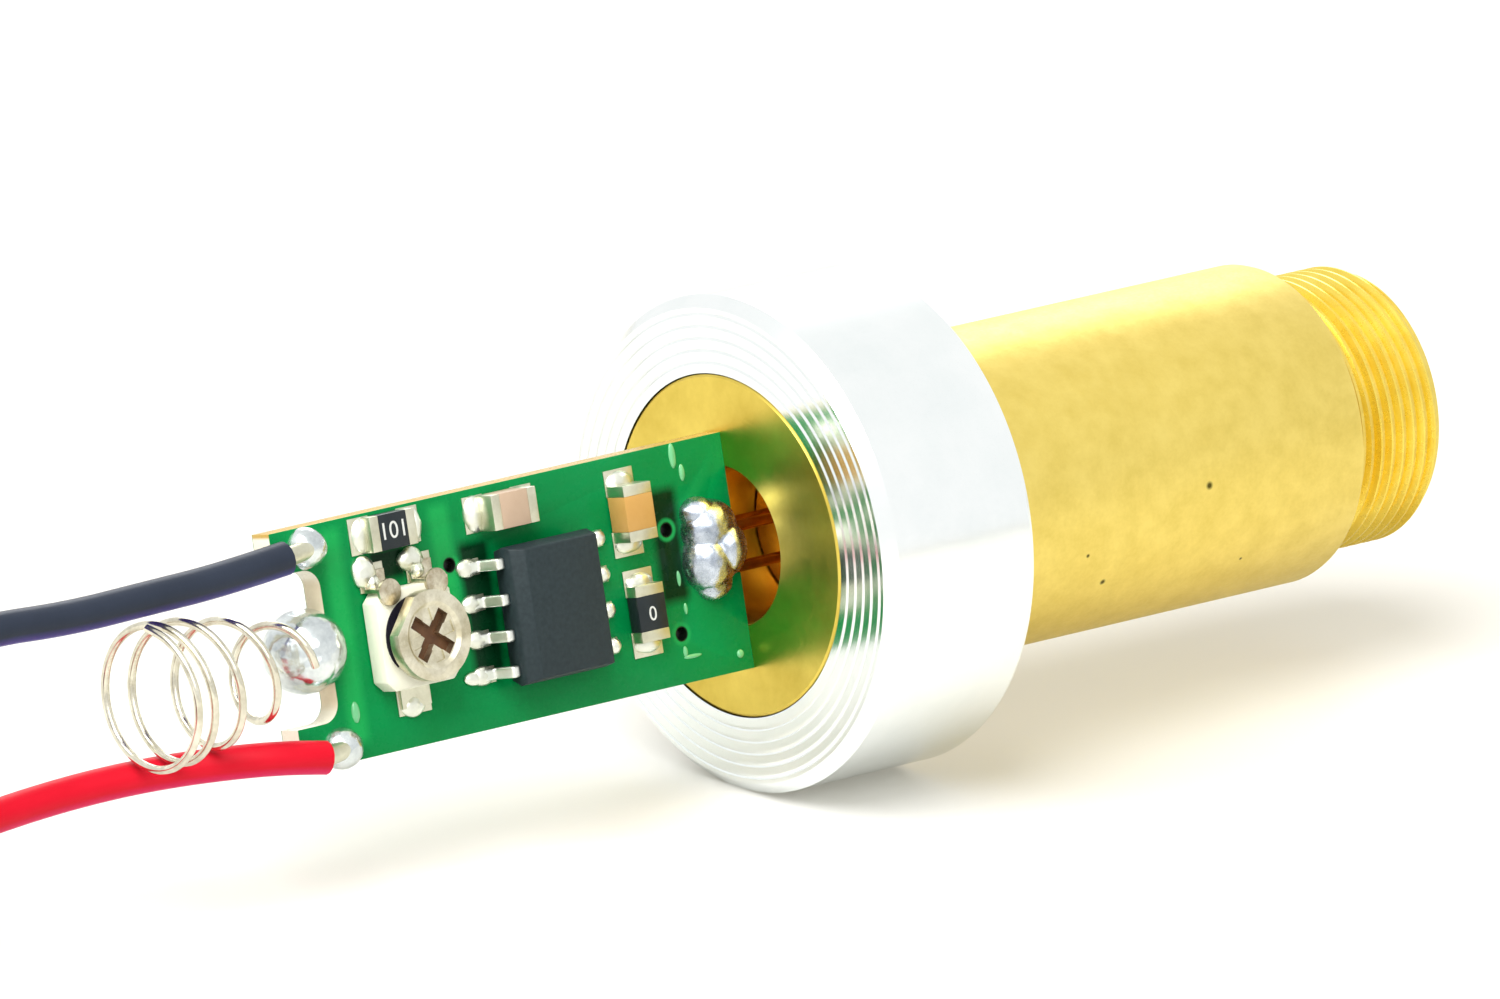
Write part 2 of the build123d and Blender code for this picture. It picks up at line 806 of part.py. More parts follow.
board = on_board(driver_board())
gather("driver_board", board)
gather("driver_chip_body", on_board(driver_chip_body()))
gather("driver_chip_leads", [on_board(lead) for lead in driver_chip_leads()])
small_chips = {
    "rear_resistor": (rear_resistor_at, resistor_height, 0),
    "front_resistor": (front_resistor_at, resistor_height, 90),
    "rear_capacitor": (rear_capacitor_at, capacitor_height, 0),
    "front_capacitor": (front_capacitor_at, capacitor_height, 90),
}
pads = chip_pads() + trimmer_pads()
for name, (place, height, turn) in small_chips.items():
    body, ends = small_chip(place, height, turn)
    gather(name + "_body", on_board(body))
    gather(name + "_ends", [on_board(end) for end in ends])
    pads += small_pads(place, turn)
gather("tinned_pads", [on_board(pad) for pad in pads])

gather("trimmer_base", on_board(trimmer_base()))
gather("trimmer_track", on_board(trimmer_track()))
gather("trimmer_terminals", [on_board(clip) for clip in trimmer_terminals()])
gather("trimmer_wiper_terminal", on_board(trimmer_wiper_terminal()))
gather("trimmer_rotor", on_board(trimmer_rotor()))

spring = contact_spring()
gather("contact_spring", spring)
gather("diode_solder", diode_solder(pins))
gather("spring_solder", spring_solder(board, spring))

leads = {"black": (black_route, -1, black_solder_at), "red": (red_route, 1, red_solder_at)}
cores = []
domes = []
coils = []
for colour, (route, side, solder_at) in leads.items():
    lead = lead_tube(colour, route)
    core = lead_core(solder_at, route[0], lead)
    cores.append(core)
    domes.append(lead_dome(solder_at, core, lead))
    coil = lead_coil(route, side)
    coils.append(coil)
    gather(colour + "_lead", lead)
    gather(colour + "_lead_coil", coil)
    gather(colour + "_lead_tip", lead_tip(route, side, coil))
gather("coil_tie", coil_tie(coils))
gather("lead_cores", cores)
gather("lead_solder", domes)

pivot = on_board(Pos(*trimmer_at, chip_base_h + trimmer_base_t)).position
print("rotor pivot", [round(v, 3) for v in pivot], "axis", [round(v, 4) for v in board_plane().z_dir])

os.makedirs("parts", exist_ok=True)
for name, shape in nodes.items():
    export_step(shape, os.path.join("parts", name + ".step"))
    print(name, round(shape.volume, 3))
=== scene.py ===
import math

import bpy
from mathutils import Matrix, Vector


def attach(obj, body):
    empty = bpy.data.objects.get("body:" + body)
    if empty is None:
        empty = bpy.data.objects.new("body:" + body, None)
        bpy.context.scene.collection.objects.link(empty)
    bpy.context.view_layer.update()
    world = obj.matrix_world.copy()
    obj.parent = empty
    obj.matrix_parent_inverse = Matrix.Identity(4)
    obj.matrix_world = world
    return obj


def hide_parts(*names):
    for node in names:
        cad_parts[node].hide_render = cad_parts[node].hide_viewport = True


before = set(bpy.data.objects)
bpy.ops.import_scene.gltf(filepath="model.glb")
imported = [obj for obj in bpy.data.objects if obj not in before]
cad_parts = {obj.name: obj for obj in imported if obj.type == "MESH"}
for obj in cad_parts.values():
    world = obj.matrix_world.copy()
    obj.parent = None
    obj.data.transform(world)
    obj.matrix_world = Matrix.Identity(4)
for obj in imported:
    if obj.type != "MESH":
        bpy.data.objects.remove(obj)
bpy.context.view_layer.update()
mm = 0.001


# The studio: a white table top and a white surround, one broad lamp high above the module, a
# weaker one on the camera's side and one behind. White only reaches the camera, gloss and glass.
def linear(red, green, blue):
    """A colour given as it is seen, 0 to 255, in the units that a shader takes."""
    channels = []
    for level in (red, green, blue):
        share = level / 255
        channels.append(share / 12.92 if share <= 0.04045 else ((share + 0.055) / 1.055) ** 2.4)
    return (*channels, 1.0)


def material(name):
    """A new node material with its shader and output, and a short way to add and join nodes."""
    made = bpy.data.materials.new(name)
    made.use_nodes = True
    tree = made.node_tree
    shader = tree.nodes["Principled BSDF"]

    def node(kind, settings=None, **inputs):
        added = tree.nodes.new(kind)
        for key, value in (settings or {}).items():
            setattr(added, key, value)
        for key, value in inputs.items():
            socket = added.inputs[key.replace("_", " ")]
            if isinstance(value, bpy.types.NodeSocket):
                tree.links.new(value, socket)
            else:
                socket.default_value = value
        return added

    return made, shader, node


def seen_white(node):
    """One where the ray comes from the camera, off gloss or through glass, otherwise nothing."""
    path = node("ShaderNodeLightPath")
    either = node("ShaderNodeMath", {"operation": "MAXIMUM"})
    both = node("ShaderNodeMath", {"operation": "MAXIMUM"})
    tree = path.id_data
    tree.links.new(path.outputs["Is Camera Ray"], either.inputs[0])
    tree.links.new(path.outputs["Is Glossy Ray"], either.inputs[1])
    tree.links.new(either.outputs[0], both.inputs[0])
    tree.links.new(path.outputs["Is Transmission Ray"], both.inputs[1])
    return both.outputs[0]


world = bpy.data.worlds.new("studio_surround")
bpy.context.scene.world = world
world.use_nodes = True
surround = world.node_tree
air = surround.nodes["Background"]
air.inputs["Color"].default_value = (1.0, 0.93, 0.74, 1)
air.inputs["Strength"].default_value = 0.50
white_air = surround.nodes.new("ShaderNodeBackground")
white_air.inputs["Color"].default_value = (1, 1, 1, 1)
white_air.inputs["Strength"].default_value = 1.0


def surround_node(kind, settings=None):
    added = surround.nodes.new(kind)
    for key, value in (settings or {}).items():
        setattr(added, key, value)
    return added


mixed_air = surround.nodes.new("ShaderNodeMixShader")
surround.links.new(seen_white(surround_node), mixed_air.inputs["Fac"])
surround.links.new(air.outputs[0], mixed_air.inputs[1])
surround.links.new(white_air.outputs[0], mixed_air.inputs[2])
surround.links.new(mixed_air.outputs[0], surround.nodes["World Output"].inputs["Surface"])

table_z = -8.9 * mm
bpy.ops.object.select_all(action="DESELECT")
bpy.ops.mesh.primitive_plane_add(size=3.0, location=(0, 0, table_z))
table_top = bpy.context.object
table_top.name = "table_top"
bpy.ops.object.transform_apply()
table_white, table_shader, node = material("table_white")
table_shader.inputs["Base Color"].default_value = linear(216, 216, 216)
table_shader.inputs["Roughness"].default_value = 0.6
ray = node("ShaderNodeLightPath")
lift = node("ShaderNodeMapRange", Value=ray.outputs["Is Camera Ray"], To_Min=0.13, To_Max=0.18)
glow = node("ShaderNodeEmission", Color=(1, 0.96, 0.80, 1), Strength=lift.outputs["Result"])
both = node("ShaderNodeAddShader")
choice = node("ShaderNodeMixShader", Fac=seen_white(node))
links = table_white.node_tree.links
links.new(table_shader.outputs[0], both.inputs[0])
links.new(glow.outputs[0], both.inputs[1])
links.new(table_shader.outputs[0], choice.inputs[1])
links.new(both.outputs[0], choice.inputs[2])
links.new(choice.outputs[0], table_white.node_tree.nodes["Material Output"].inputs["Surface"])
table_top.data.materials.append(table_white)

# Each lamp: name, place, width, watts
for lamp_name, place, width, watts in (
    ("key_lamp", (-0.38, -0.14, 0.60), 0.60, 6.6),
    ("fill_lamp", (-0.30, -0.62, 0.52), 0.60, 1.8),
    ("back_lamp", (0.50, 0.58, 0.40), 0.40, 1.25),
):
    lamp_data = bpy.data.lights.new(lamp_name, "AREA")
    lamp_data.shape = "DISK"
    lamp_data.size = width
    lamp_data.energy = watts
    lamp = bpy.data.objects.new(lamp_name, lamp_data)
    lamp.location = place
    lamp.rotation_euler = (-Vector(place)).to_track_quat("-Z", "Y").to_euler()
    lamp.visible_camera = False
    bpy.context.scene.collection.objects.link(lamp)

# The camera looks from behind on the left, 16 degrees above level, through a very long lens
view_back = Vector((-0.6153, -0.7385, 0.2756)).normalized()
view_centre = Vector((-2.414, -0.154, 1.561)) * mm
camera_distance = 1.0
seen_width = 52.63 * mm
camera_data = bpy.data.cameras.new("camera")
camera_data.sensor_width = 36.0
camera_data.lens = camera_data.sensor_width * camera_distance / seen_width
camera_data.clip_start = 0.1
camera_data.clip_end = 10
camera = bpy.data.objects.new("camera", camera_data)
camera.location = view_centre + view_back * camera_distance
camera.rotation_euler = (-view_back).to_track_quat("-Z", "Y").to_euler()
bpy.context.scene.collection.objects.link(camera)
bpy.context.scene.camera = camera
bpy.context.scene.view_settings.view_transform = "Standard"


# The barrel: turned from one brass bar, satin, with a shoulder, a relief and a threaded nose. The
# thread is cut into the nose, and the rear end is stepped down to take the ring.
turning_steps = 192
merge_gap = 0.001 * mm
shoulder_x, nose_x = 21.35, 25.70
barrel_radius, nose_radius, relief_radius = 5.775, 5.0, 4.60
thread_pitch = 0.5
thread_root = 4.78


def alone(piece=None):
    """Leaves only one object selected and active, or none."""
    if bpy.context.object and bpy.context.object.mode != "OBJECT":
        bpy.ops.object.mode_set(mode="OBJECT")
    bpy.ops.object.select_all(action="DESELECT")
    if piece:
        piece.select_set(True)
        bpy.context.view_layer.objects.active = piece


def shape_by(piece, kind, **settings):
    """Gives a piece one modifier with these settings and applies it."""
    alone(piece)
    change = piece.modifiers.new(kind.lower(), kind)
    for key, value in settings.items():
        setattr(change, key, value)
    bpy.ops.object.modifier_apply(modifier=change.name)


def turned(name, profile, smooth=22):
    """Turns a piece on the optical axis from its closed outline, (x, radius) in millimetres."""
    alone()
    x, radius = profile[0]
    bpy.ops.mesh.primitive_circle_add(
        vertices=turning_steps, radius=radius * mm, location=(x * mm, 0, 0), rotation=(0, math.pi / 2, 0),
        fill_type="NOTHING")
    piece = bpy.context.object
    piece.name = name
    bpy.ops.object.transform_apply()
    bpy.ops.object.mode_set(mode="EDIT")
    for next_x, next_radius in profile[1:] + profile[:1]:
        step = ((next_x - x) * mm, 0, 0)
        bpy.ops.mesh.extrude_region_move(TRANSFORM_OT_translate={"value": step})
        share = next_radius / radius
        bpy.ops.transform.resize(value=(1, share, share), center_override=(next_x * mm, 0, 0))
        x, radius = next_x, next_radius
    bpy.ops.mesh.select_all(action="SELECT")
    bpy.ops.mesh.remove_doubles(threshold=merge_gap)
    bpy.ops.mesh.normals_make_consistent(inside=False)
    bpy.ops.object.mode_set(mode="OBJECT")
    bpy.ops.object.shade_smooth_by_angle(angle=math.radians(smooth))
    return piece


def metal(name, colour, other, gloss, grain, relief=0.004, patch=0.12, lines=0.0):
    """Bare metal: cloudy colour, uneven gloss, a fine grain and, where asked, turning lines."""
    made, shader, node = material(name)
    links = made.node_tree.links
    shader.inputs["Metallic"].default_value = 1.0
    place = node("ShaderNodeTexCoord").outputs["Object"]
    cloud = node("ShaderNodeTexNoise", Vector=place, Scale=grain, Detail=6.0, Roughness=0.65)
    spread = node("ShaderNodeMapRange", Value=cloud.outputs["Fac"], From_Min=0.35, From_Max=0.68)
    tint = node("ShaderNodeMix", {"data_type": "RGBA"})
    tint.inputs["A"].default_value = colour
    tint.inputs["B"].default_value = other
    links.new(spread.outputs["Result"], tint.inputs["Factor"])
    links.new(tint.outputs["Result"], shader.inputs["Base Color"])
    fine_grain = grain * 8
    gloss_low, gloss_high = gloss - patch / 2, gloss + patch
    fine = node("ShaderNodeTexNoise", Vector=place, Scale=fine_grain, Detail=4.0)
    uneven = node("ShaderNodeMapRange", Value=fine.outputs["Fac"], To_Min=gloss_low, To_Max=gloss_high)
    links.new(uneven.outputs["Result"], shader.inputs["Roughness"])
    bump = node("ShaderNodeBump", Height=fine.outputs["Fac"], Strength=0.5, Distance=relief * mm)
    if lines:
        split = node("ShaderNodeSeparateXYZ", Vector=place)
        flat = node("ShaderNodeCombineXYZ", Y=split.outputs["Y"], Z=split.outputs["Z"])
        reach = node("ShaderNodeVectorMath", {"operation": "LENGTH"})
        links.new(flat.outputs[0], reach.inputs[0])
        along = node("ShaderNodeMath", {"operation": "ADD"})
        links.new(split.outputs["X"], along.inputs[0])
        links.new(reach.outputs["Value"], along.inputs[1])
        lines_per_metre, line_depth = 9000.0, 0.004 * mm
        one_way = {"noise_dimensions": "1D"}
        cut = node("ShaderNodeTexNoise", one_way, W=along.outputs[0], Scale=lines_per_metre, Detail=2.0)
        tool = node("ShaderNodeBump", Height=cut.outputs["Fac"], Strength=lines, Distance=line_depth)
        links.new(bump.outputs["Normal"], tool.inputs["Normal"])
        bump = tool
    links.new(bump.outputs["Normal"], shader.inputs["Normal"])
    return made


def fit(piece, finish, slot, *nodes, body="module"):
    """Gives a finished piece its material, its body and the nodes that it stands for. Its slot is not used.
    """
    alone()
    piece.data.materials.clear()
    piece.data.materials.append(finish)
    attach(piece, body)
    if nodes:
        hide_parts(*nodes)


# Each pit: its place along the barrel, its angle round it and its size
barrel_pits = ((14.03, 177.1, 0.11), (9.58, 206.3, 0.09), (8.52, 193.1, 0.06), (16.2, 211.0, 0.05))
pit_core, pit_rim = 0.6, 1.6


def pitted(made, pits):
    """Adds small dark pits to a metal, at places on the barrel's outside."""
    shader = made.node_tree.nodes["Principled BSDF"]
    nodes, links = made.node_tree.nodes, made.node_tree.links
    place = nodes.new("ShaderNodeTexCoord")
    for x, turn, size in pits:
        angle = math.radians(turn)
        gap = nodes.new("ShaderNodeVectorMath")
        gap.operation = "DISTANCE"
        gap.inputs[1].default_value = (
            x * mm, barrel_radius * math.cos(angle) * mm, barrel_radius * math.sin(angle) * mm)
        links.new(place.outputs["Object"], gap.inputs[0])
        edge = nodes.new("ShaderNodeMapRange")
        edge.inputs["From Min"].default_value = pit_core * size * mm
        edge.inputs["From Max"].default_value = pit_rim * size * mm
        links.new(gap.outputs["Value"], edge.inputs["Value"])
        dark = nodes.new("ShaderNodeMix")
        dark.data_type = "RGBA"
        dark.inputs["A"].default_value = linear(88, 80, 34)
        links.new(edge.outputs["Result"], dark.inputs["Factor"])
        links.new(shader.inputs["Base Color"].links[0].from_socket, dark.inputs["B"])
        links.new(dark.outputs["Result"], shader.inputs["Base Color"])


barrel_brass = metal(
    "barrel_brass", linear(236, 213, 117), linear(224, 200, 102),
    gloss=0.40, grain=1000, relief=0.008, patch=0.14, lines=0.3)
pitted(barrel_brass, barrel_pits)
nose_brass = metal(
    "nose_brass", linear(250, 226, 110), linear(238, 206, 80),
    gloss=0.26, grain=500, relief=0.003, patch=0.08, lines=0.2)
brass_barrel = turned("brass_barrel", [
    (-1.30, 4.72), (-1.30, 5.375), (3.32, 5.375), (3.32, barrel_radius), (8.0, barrel_radius),
    (14.0, barrel_radius), (shoulder_x - 0.25, barrel_radius), (shoulder_x - 0.06, 5.71),
    (shoulder_x, 5.525), (shoulder_x, 4.68),
    (shoulder_x + 0.05, relief_radius), (shoulder_x + 0.66, relief_radius), (shoulder_x + 0.74, thread_root),
    (nose_x - 0.05, thread_root), (nose_x, thread_root - 0.06), (nose_x, 4.10), (nose_x - 0.08, 4.02),
    (18.30, 4.02), (18.30, 3.00), (13.00, 3.00), (13.00, 4.72),
])
fit(brass_barrel, barrel_brass, "barrel_brass", "barrel")

# One tooth is wound round the nose, then cut off by the outline of the thread
tooth_side = 0.46
tooth_depth = tooth_side * math.sqrt(3) / 2
tooth_x = shoulder_x + 0.3
crest_radius = 5.06
thread_turns, steps_a_turn = 9, 128
alone()
bpy.ops.mesh.primitive_circle_add(
    vertices=3, radius=tooth_side / math.sqrt(3) * mm, fill_type="NOTHING",
    location=(tooth_x * mm, 0, (crest_radius - tooth_depth * 2 / 3) * mm), rotation=(math.pi / 2, 0, 0))
nose_thread = bpy.context.object
nose_thread.name = "nose_thread"
bpy.ops.object.transform_apply()
shape_by(
    nose_thread, "SCREW", axis="X", screw_offset=thread_pitch * mm, iterations=thread_turns,
    steps=steps_a_turn, render_steps=steps_a_turn)
bpy.ops.object.mode_set(mode="EDIT")
bpy.ops.mesh.select_all(action="SELECT")
bpy.ops.mesh.fill_holes(sides=3)
bpy.ops.mesh.select_all(action="SELECT")
bpy.ops.mesh.normals_make_consistent(inside=False)
bpy.ops.object.mode_set(mode="OBJECT")
outline = turned("thread_outline", [
    (shoulder_x + 0.60, 4.0), (shoulder_x + 0.60, 4.45), (shoulder_x + 1.05, nose_radius),
    (nose_x - 0.35, nose_radius), (nose_x - 0.01, 4.66), (nose_x - 0.01, 4.0)])
shape_by(nose_thread, "BOOLEAN", operation="INTERSECT", solver="EXACT", object=outline)
bpy.ops.object.shade_smooth_by_angle(angle=math.radians(25))
bpy.data.objects.remove(outline)
fit(nose_thread, nose_brass, "barrel_brass", "barrel")


# The ring: turned from aluminium bar, bright, with coarse turning grooves on its rear face. It
# slides over the barrel's stepped end and is glued there.
ring_bright = metal(
    "ring_bright", linear(250, 253, 252), linear(242, 247, 246),
    gloss=0.15, grain=260, relief=0.002, patch=0.04, lines=0.10)
ring_back, ring_front, ring_radius = -3.30, 3.30, 8.90
first_groove, groove_pitch, groove_count = 6.55, 0.43, 5
groove_width, groove_depth, groove_slant = 0.15, 0.035, 0.02
ring_profile = [(ring_back + 0.02, 6.15), (ring_back, 6.19)]
for count in range(groove_count):
    middle = first_groove + groove_pitch * count
    ring_profile += [
        (ring_back, middle - groove_width / 2),
        (ring_back + groove_depth, middle + groove_slant),
        (ring_back, middle + groove_width / 2),
    ]
ring_profile += [
    (ring_back, 8.48), (-2.86, ring_radius), (0.0, ring_radius), (3.15, ring_radius), (3.26, 8.86),
    (ring_front, 8.75), (ring_front, 5.895), (2.80, 5.395), (-1.30, 5.395), (-1.30, 6.15),
]
heat_ring = turned("heat_ring", ring_profile, smooth=12)
fit(heat_ring, ring_bright, "ring_metal", "heatsink_ring")


# The diode mount: a brass plug pressed into the barrel. Its faced head shows as a gold disc
# inside the ring, with the diode can down the hole in its middle.
mount_brass = metal(
    "mount_brass", linear(230, 205, 98), linear(206, 180, 76),
    gloss=0.29, grain=300, relief=0.003, patch=0.10, lines=0.6)
mount_disc = turned("mount_disc", [
    (-3.25, 2.85), (-3.30, 2.90), (-3.30, 4.0), (-3.30, 5.0), (-3.30, 6.02), (-3.24, 6.10), (-1.30, 6.10),
    (-1.30, 4.70), (5.00, 4.70), (5.00, 2.10), (1.50, 2.10), (1.50, 2.85),
])
fit(mount_disc, mount_brass, "mount_brass", "diode_mount")


# The diode: a gold-plated header with three pins and a small can, pushed up against a step in
# the mount. The can's window and everything ahead of it cannot be seen from behind.
def finish_nodes(finish, *names):
    """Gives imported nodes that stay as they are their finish."""
    for name in names:
        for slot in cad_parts[name].material_slots:
            slot.material = finish


def glass(name, colour, gloss):
    """Clear optical glass, with a trace of haze on its face."""
    made, shader, node = material(name)
    shader.inputs["Base Color"].default_value = colour
    shader.inputs["Transmission Weight"].default_value = 1.0
    shader.inputs["IOR"].default_value = 1.52
    place = node("ShaderNodeTexCoord").outputs["Object"]
    haze = node("ShaderNodeTexNoise", Vector=place, Scale=900.0, Detail=3.0)
    uneven = node("ShaderNodeMapRange", Value=haze.outputs["Fac"], To_Min=gloss, To_Max=gloss + 0.05)
    made.node_tree.links.new(uneven.outputs["Result"], shader.inputs["Roughness"])
    return made


def dressed_copy(node_name, name, edge, steps=2, angle=30):
    """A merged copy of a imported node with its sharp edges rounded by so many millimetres."""
    piece = bpy.data.objects.new(name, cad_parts[node_name].data.copy())
    bpy.context.scene.collection.objects.link(piece)
    alone(piece)
    bpy.ops.object.mode_set(mode="EDIT")
    bpy.ops.mesh.select_all(action="SELECT")
    bpy.ops.mesh.customdata_custom_splitnormals_clear()
    bpy.ops.mesh.remove_doubles(threshold=merge_gap)
    bpy.ops.mesh.dissolve_limited(angle_limit=math.radians(1))
    bpy.ops.object.mode_set(mode="OBJECT")
    if edge:
        shape_by(
            piece, "BEVEL", width=edge * mm, segments=steps,
            limit_method="ANGLE", angle_limit=math.radians(angle))
    bpy.ops.object.shade_smooth_by_angle(angle=math.radians(40))
    return piece


gold_plate = metal("gold_plate", linear(232, 170, 78), linear(196, 120, 44), gloss=0.20, grain=600)
can_metal = metal("can_metal", linear(206, 204, 198), linear(186, 184, 178), gloss=0.25, grain=500)
can_glass = glass("can_glass", linear(240, 244, 243), 0.02)
pins = dressed_copy("diode_pins", "gold_pins", 0.03)
fit(pins, gold_plate, "gold_plate", "diode_pins")
header = dressed_copy("diode_header", "gold_header", 0.05)
fit(header, gold_plate, "gold_plate", "diode_header")
finish_nodes(can_metal, "diode_cap")
finish_nodes(can_glass, "diode_window")


# The optics: crystals and a small lens in a brass holder, then a filter and the collimating lens
# in a brass cell that is screwed into the nose, held by a slotted ring.
inner_brass = metal(
    "inner_brass", linear(232, 200, 104), linear(212, 176, 80),
    gloss=0.28, grain=400, relief=0.004, patch=0.10, lines=0.4)
lens_glass = glass("lens_glass", linear(242, 246, 250), 0.01)
crystal_pink = glass("crystal_pink", linear(238, 226, 244), 0.02)
filter_green = glass("filter_green", linear(206, 236, 228), 0.02)
finish_nodes(inner_brass, "crystal_holder")
finish_nodes(lens_glass, "expander_lens")
finish_nodes(crystal_pink, "crystal_set")
finish_nodes(filter_green, "ir_filter")
cell = dressed_copy("lens_cell", "brass_lens_cell", 0.08)
fit(cell, inner_brass, "inner_brass", "lens_cell")
lock = dressed_copy("lens_lock_ring", "brass_lock_ring", 0.06)
fit(lock, inner_brass, "inner_brass", "lens_lock_ring")
lens = dressed_copy("collimating_lens", "front_lens", 0.05, angle=40)
fit(lens, lens_glass, "lens_glass", "collimating_lens")


# The driver board: 1 mm glass-cloth laminate, bright green solder mask on both sides, bare tan
# edges. It leans back a little and is soldered to the diode's pins.
board_lean = math.radians(13.2)
board_down = Vector((0, -math.sin(board_lean), -math.cos(board_lean)))
board_out = Vector((0, -math.cos(board_lean), math.sin(board_lean)))
board_origin = (Vector((-3.3, 0, 0)) + board_down * 0.15) * mm
board_turn = Matrix((Vector((-1, 0, 0)), board_down, board_out)).transposed()
board_place = Matrix.Translation(board_origin) @ board_turn.to_4x4()
face_h = 0.5


def flat_on_board(node):
    """Coordinates along, across and out of the board, read from the object's own."""
    place = node("ShaderNodeTexCoord").outputs["Object"]
    back = board_place.inverted()
    turned_back = node("ShaderNodeMapping", Vector=place)
    turned_back.inputs["Location"].default_value = back.to_translation()
    turned_back.inputs["Rotation"].default_value = back.to_euler()
    return turned_back.outputs["Vector"]


# Patches of the component side, from and to along the board and then across it, and the holes. The dark
# patches are bare laminate where copper is left off, with painted shadow of the parts beside them.
shade_and_copper_gaps = ((10.9, 12.25, -2.4, 2.3), (14.6, 16.2, -2.85, -1.7), (2.4, 3.6, -2.7, 1.3))
copper_tracks = ((12.45, 13.3, -3.9, -0.3), (17.3, 18.1, -3.9, 3.6))
via_places = ((12.70, -1.75), (3.0, 2.45), (3.0, -1.25))
# Where one colour fades into the next, in millimetres
copper_fade = 0.2
front_fade, face_fade = (0.1, 0.3), (0.455, 0.475)
collar_fade, hole_fade, bore_fade = (0.46, 0.36), (0.30, 0.25), (0.4, 0.3)
# The bare edge in the notch is painted near white as painted light, from this far along and within this far
# across.
lit_notch_fade, lit_notch_side_fade = (18.2, 18.5), (4.0, 4.1)


def board_mask():
    """Green solder mask, lighter over copper and darker between, with painted shadow in the darker patches,
    dark vias, bare tan edges and a painted lit patch at the notch.
    """
    made, shader, node = material("board_mask")
    links = made.node_tree.links
    flat = flat_on_board(node)
    split = node("ShaderNodeSeparateXYZ", Vector=flat)
    cloud = node("ShaderNodeTexNoise", Vector=flat, Scale=260.0, Detail=3.0)
    green = node("ShaderNodeMix", {"data_type": "RGBA"})
    green.inputs["A"].default_value = linear(0, 116, 50)
    green.inputs["B"].default_value = linear(2, 142, 78)
    links.new(cloud.outputs["Fac"], green.inputs["Factor"])
    colour = green.outputs["Result"]

    def ramp(value, low, high):
        """Nought below the low value and one above the high one."""
        slope = node("ShaderNodeMapRange", Value=value, From_Min=low * mm, From_Max=high * mm)
        return slope.outputs["Result"]

    def blend(share, under, over):
        """Lays one colour over another by a share."""
        mixed = node("ShaderNodeMix", {"data_type": "RGBA"})
        for key, value in (("Factor", share), ("A", under), ("B", over)):
            if isinstance(value, bpy.types.NodeSocket):
                links.new(value, mixed.inputs[key])
            else:
                mixed.inputs[key].default_value = value
        return mixed.outputs["Result"]

    def product(*shares):
        """All the shares multiplied."""
        whole = shares[0]
        for share in shares[1:]:
            times = node("ShaderNodeMath", {"operation": "MULTIPLY"})
            links.new(whole, times.inputs[0])
            links.new(share, times.inputs[1])
            whole = times.outputs[0]
        return whole

    def unsigned(value):
        """The value without its sign."""
        plain = node("ShaderNodeMath", {"operation": "ABSOLUTE"})
        links.new(value, plain.inputs[0])
        return plain.outputs[0]

    def gap_to_hole(along, across):
        """How far a point is from a hole's axis."""
        axis = node("ShaderNodeCombineXYZ", X=split.outputs["X"], Y=split.outputs["Y"])
        gap = node("ShaderNodeVectorMath", {"operation": "DISTANCE"})
        gap.inputs[1].default_value = (along * mm, across * mm, 0)
        links.new(axis.outputs[0], gap.inputs[0])
        return gap.outputs["Value"]

    # The dark patches are partly painted shadow of the chip and the trimmer; the lighter ones are tracks.
    for places, shade in ((shade_and_copper_gaps, linear(0, 44, 20)), (copper_tracks, linear(24, 156, 78))):
        for low_s, high_s, low_t, high_t in places:
            inside = product(
                ramp(split.outputs["X"], low_s - copper_fade, low_s + copper_fade),
                ramp(split.outputs["X"], high_s + copper_fade, high_s - copper_fade),
                ramp(split.outputs["Y"], low_t - copper_fade, low_t + copper_fade),
                ramp(split.outputs["Y"], high_t + copper_fade, high_t - copper_fade),
                ramp(split.outputs["Z"], *front_fade))
            colour = blend(inside, colour, shade)
    via_gaps = [gap_to_hole(along, across) for along, across in via_places]
    for gap in via_gaps:
        colour = blend(ramp(gap, *collar_fade), colour, linear(26, 150, 76))
        colour = blend(ramp(gap, *hole_fade), colour, linear(14, 26, 16))
    cloth = node("ShaderNodeTexNoise", Vector=flat, Scale=4000.0, Detail=2.0)
    tan = blend(cloth.outputs["Fac"], linear(190, 154, 78), linear(210, 180, 106))
    # Painted light: the notch's bare edge, which faces the rear, is painted near white where it is lit.
    painted_lit_notch = blend(ramp(split.outputs["X"], *lit_notch_fade), tan, linear(244, 240, 222))
    edge = blend(ramp(unsigned(split.outputs["Y"]), *lit_notch_side_fade), painted_lit_notch, tan)
    for gap in via_gaps:
        edge = blend(ramp(gap, *bore_fade), edge, linear(14, 20, 14))
    faces_and_edges = blend(ramp(unsigned(split.outputs["Z"]), *face_fade), edge, colour)
    links.new(faces_and_edges, shader.inputs["Base Color"])
    shader.inputs["Specular IOR Level"].default_value = 0.12
    fine = node("ShaderNodeTexNoise", Vector=flat, Scale=3000.0, Detail=3.0)
    uneven = node("ShaderNodeMapRange", Value=fine.outputs["Fac"], To_Min=0.20, To_Max=0.36)
    links.new(uneven.outputs["Result"], shader.inputs["Roughness"])
    bump = node("ShaderNodeBump", Height=fine.outputs["Fac"], Strength=0.2, Distance=0.01 * mm)
    links.new(bump.outputs["Normal"], shader.inputs["Normal"])
    return made


board = dressed_copy("driver_board", "green_board", 0.04)
fit(board, board_mask(), "board_green", "driver_board")
tin = metal(
    "tin", linear(222, 221, 200), linear(196, 194, 170),
    gloss=0.34, grain=900, relief=0.006, patch=0.14)
pads = dressed_copy("tinned_pads", "solder_pads", 0.02)
fit(pads, tin, "tinned", "tinned_pads")


